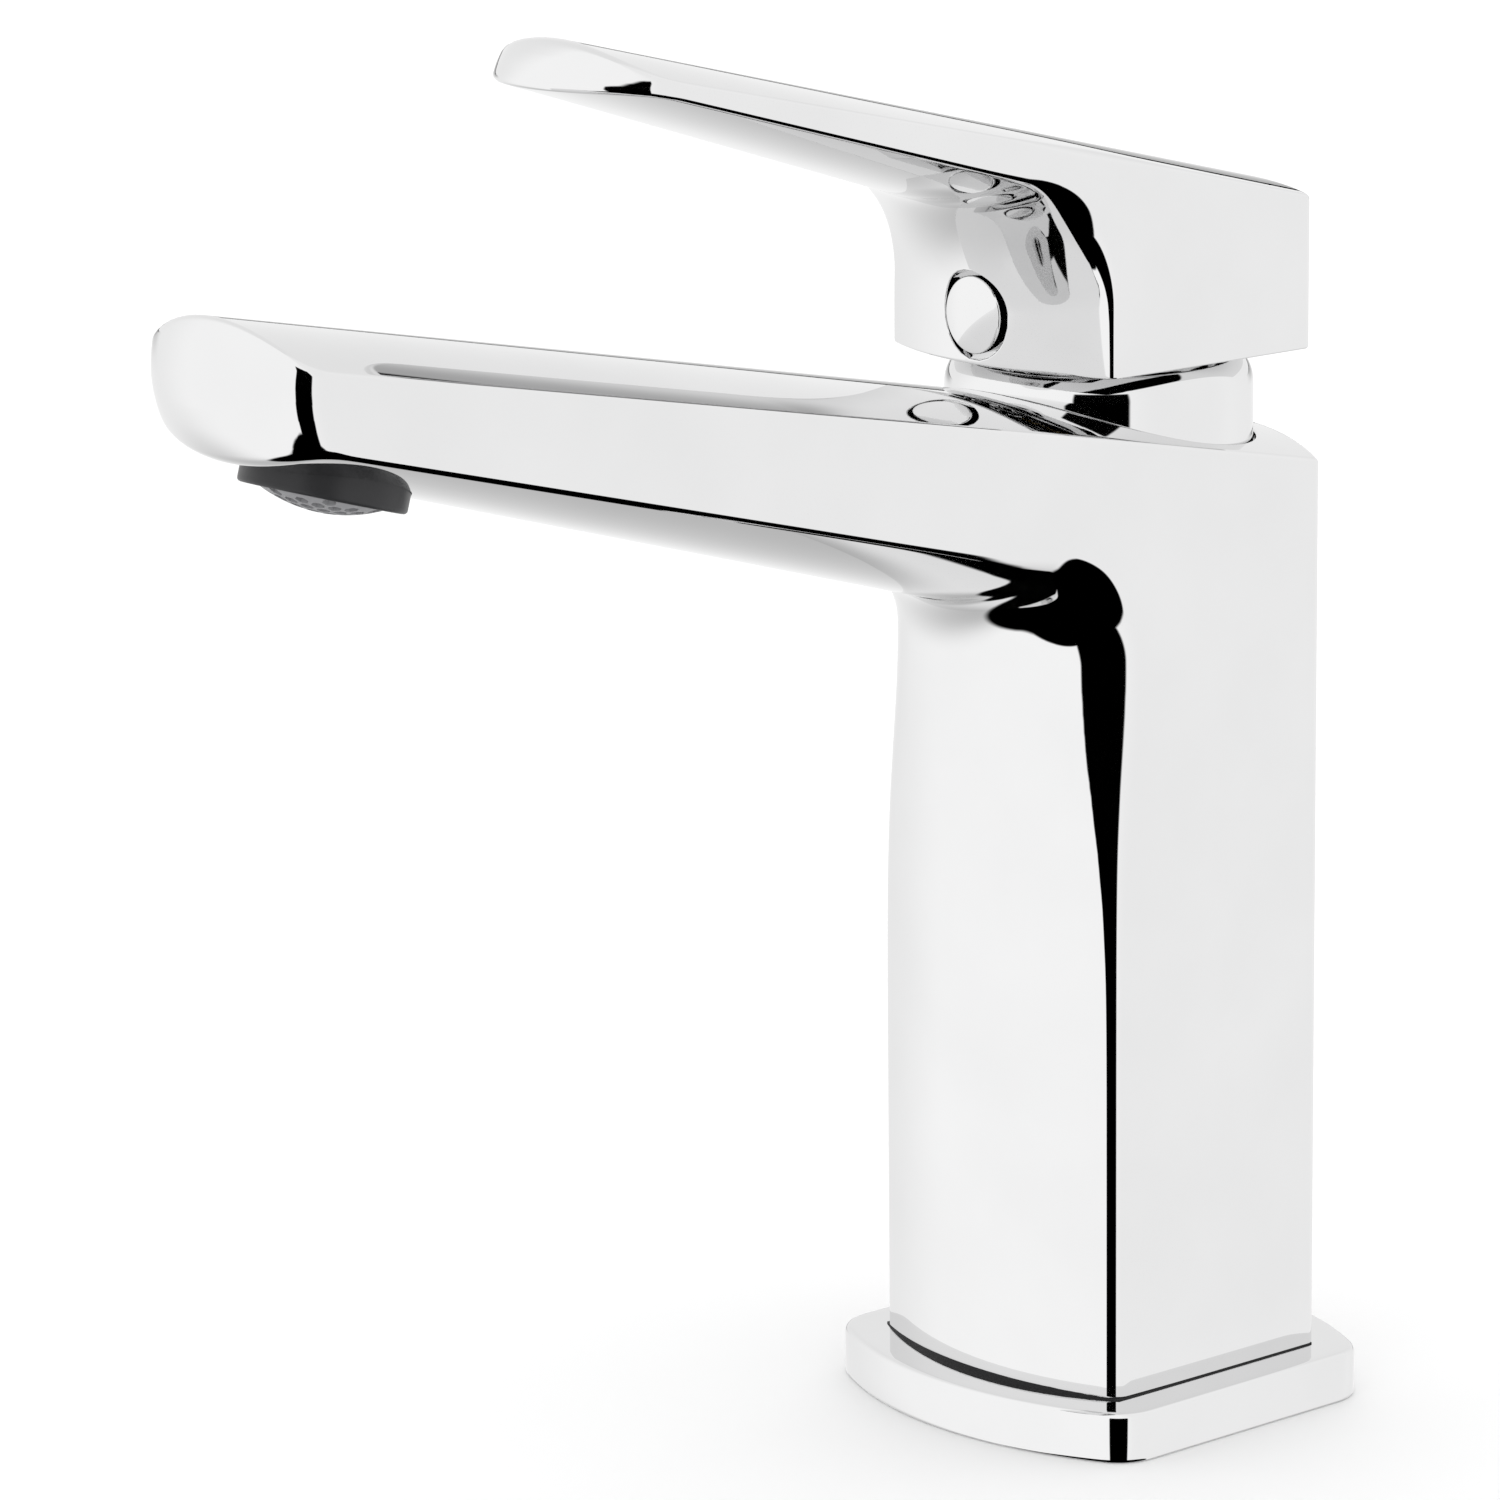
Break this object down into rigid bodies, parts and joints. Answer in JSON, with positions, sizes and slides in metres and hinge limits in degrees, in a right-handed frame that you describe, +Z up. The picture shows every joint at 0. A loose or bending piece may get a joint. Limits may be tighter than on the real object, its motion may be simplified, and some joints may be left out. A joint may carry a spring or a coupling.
{
  "type": "basin mixer faucet",
  "caption": "Single-lever basin mixer: bowed rectangular column on a foot, rising tapered spout with aerator, dome cap and flat lever handle with index plug.",
  "frame": {"origin": "centre of the foot on the basin deck, on the axis of the column and cartridge", "axes": "+Z up from the deck, -Y along the spout towards the user, X across the spout"},
  "size_m": [0.0524, 0.1644, 0.1754],
  "materials": {
    "chrome": "mirror polished chrome plate on brass",
    "brass": "machined brass",
    "steel": "turned stainless steel",
    "rubber": "matt black elastomer",
    "cartridge_plastic": "moulded",
    "ceramic": "lapped ceramic",
    "aerator_shell": "satin dark plastic",
    "grid_plastic": "moulded light grey honeycomb"
  },
  "bodies": {
    "body": {"body_casting": "chrome", "base_plate": "chrome", "base_seal": "rubber", "body_gasket": "rubber", "cartridge_housing": "cartridge_plastic", "cartridge_base": "cartridge_plastic", "port_seals": "rubber", "cartridge_o_ring": "rubber", "fixed_disc": "ceramic", "retaining_nut": "brass", "dome_slip_ring": "cartridge_plastic", "dome_cap": "chrome", "aerator_housing": "aerator_shell", "aerator_washer": "rubber", "aerator_insert": "grid_plastic", "aerator_screens": "steel", "aerator_outlet_grid": "grid_plastic"},
    "turret": {"stem_guide": "cartridge_plastic", "stem_pin": "steel"},
    "disc": {"moving_disc": "ceramic", "disc_carrier": "cartridge_plastic"},
    "lever": {"control_stem": "brass", "handle": "chrome", "set_screw": "steel", "index_plug": "chrome"}
  },
  "joints": [
    {"name": "temperature_turn", "type": "hinge", "parent": "body", "child": "turret", "pos_m": [0, 0, 0.118], "axis": [0, 0, 1], "range_deg": [-45, 45]},
    {"name": "lever_lift", "type": "hinge", "parent": "turret", "child": "lever", "pos_m": [0, 0, 0.118], "axis": [-1, 0, 0], "range_deg": [0, 20]},
    {"name": "disc_slide", "type": "slide", "parent": "turret", "child": "disc", "axis": [0, -1, 0], "range_m": [0, 0.0024]}
  ],
  "couplings": [
    {"joint": "disc_slide", "follows": "lever_lift", "m_per_rad": 0.0068}
  ]
}
